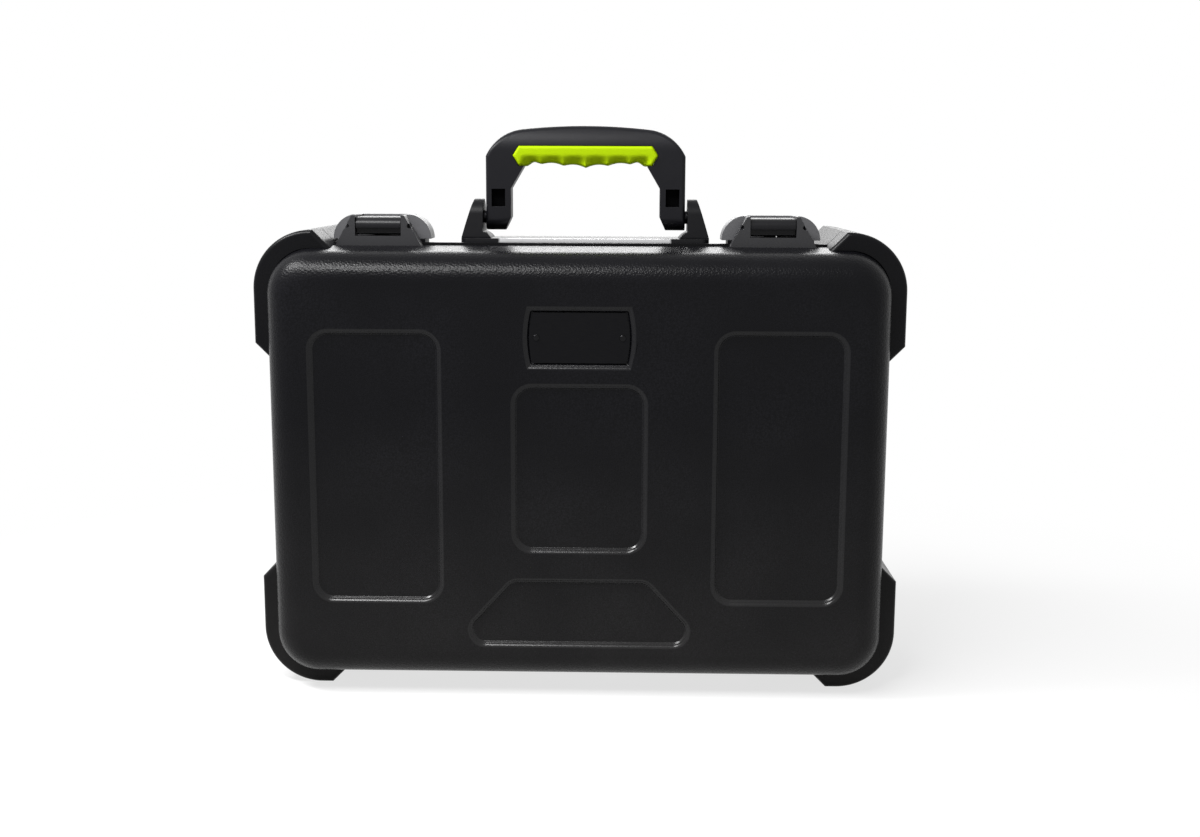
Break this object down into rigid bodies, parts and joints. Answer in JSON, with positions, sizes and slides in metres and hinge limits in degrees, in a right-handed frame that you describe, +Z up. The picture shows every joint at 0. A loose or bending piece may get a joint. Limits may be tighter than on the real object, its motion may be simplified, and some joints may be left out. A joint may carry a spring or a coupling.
{
  "type": "microphone carrying case",
  "caption": "Upright moulded carrying case with corner guards, a hinged lid, a fold-down grip handle, lever latches and a foam insert for microphones.",
  "frame": {"origin": "the middle of the bounding box's underside, on the floor under the corner guards' feet", "axes": "+X runs across the case to the right as seen from the lid, +Y from the lid's face to the back, +Z up as the case stands on its hinge side"},
  "size_m": [0.487, 0.185, 0.428],
  "materials": {
    "shell_plastic": "matte",
    "guard_plastic": "matte",
    "rim_plastic": "satin",
    "seal_rubber": "matte",
    "handle_plastic": "satin",
    "grip_rubber": "satin",
    "latch_plastic": "satin",
    "fastener_steel": "satin",
    "hinge_steel": "satin",
    "badge_metal": "satin",
    "foam": "matte"
  },
  "bodies": {
    "base": {"base_guard_bottom_left": "guard_plastic", "base_guard_bottom_right": "guard_plastic", "base_guard_screws": "fastener_steel", "base_guard_top_left": "guard_plastic", "base_guard_top_right": "guard_plastic", "base_hinge_leaf": "hinge_steel", "base_hinge_screws": "fastener_steel", "base_rim": "rim_plastic", "base_shell": "shell_plastic", "foam_base_pad": "foam", "foam_tray": "foam", "handle_bracket_left": "handle_plastic", "handle_bracket_right": "handle_plastic", "handle_pins": "fastener_steel", "handle_plate": "handle_plastic", "handle_screws": "fastener_steel", "hinge_pin": "fastener_steel", "keeper_housing_left": "latch_plastic", "keeper_housing_right": "latch_plastic", "keeper_plate_left": "latch_plastic", "keeper_plate_right": "latch_plastic", "keeper_screws": "fastener_steel"},
    "lid": {"badge_plate": "badge_metal", "badge_rivets": "fastener_steel", "foam_lid_lining": "foam", "latch_housing_left": "latch_plastic", "latch_housing_right": "latch_plastic", "latch_pin_left": "fastener_steel", "latch_pin_right": "fastener_steel", "latch_screws": "fastener_steel", "lid_guard_bottom_left": "guard_plastic", "lid_guard_bottom_right": "guard_plastic", "lid_guard_screws": "fastener_steel", "lid_guard_top_left": "guard_plastic", "lid_guard_top_right": "guard_plastic", "lid_hinge_leaf": "hinge_steel", "lid_hinge_screws": "fastener_steel", "lid_rim": "rim_plastic", "lid_shell": "shell_plastic", "rim_seal": "seal_rubber"},
    "handle": {"handle_frame": "handle_plastic", "handle_grip": "grip_rubber"},
    "latch_lever_left": {"latch_lever_left": "latch_plastic"},
    "latch_lever_right": {"latch_lever_right": "latch_plastic"},
    "slide_bolt_left": {"slide_bolt_left": "latch_plastic"},
    "slide_bolt_right": {"slide_bolt_right": "latch_plastic"}
  },
  "joints": [
    {"name": "lid_hinge", "type": "hinge", "parent": "base", "child": "lid", "pos_m": [0, -0.0275, 0.007], "axis": [1, 0, 0], "range_deg": [0, 100]},
    {"name": "handle_hinge", "type": "hinge", "parent": "base", "child": "handle", "pos_m": [0.003, 0.002, 0.3585], "axis": [1, 0, 0], "range_deg": [-90, 90]},
    {"name": "latch_left_pivot", "type": "hinge", "parent": "lid", "child": "latch_lever_left", "pos_m": [-0.152, -0.037, 0.3525], "axis": [1, 0, 0], "range_deg": [0, 80]},
    {"name": "latch_right_pivot", "type": "hinge", "parent": "lid", "child": "latch_lever_right", "pos_m": [0.145, -0.037, 0.3525], "axis": [1, 0, 0], "range_deg": [0, 80]},
    {"name": "slide_bolt_left_travel", "type": "slide", "parent": "base", "child": "slide_bolt_left", "axis": [-1, 0, 0], "range_m": [0, 0.012]},
    {"name": "slide_bolt_right_travel", "type": "slide", "parent": "base", "child": "slide_bolt_right", "axis": [-1, 0, 0], "range_m": [0, 0.012]}
  ]
}
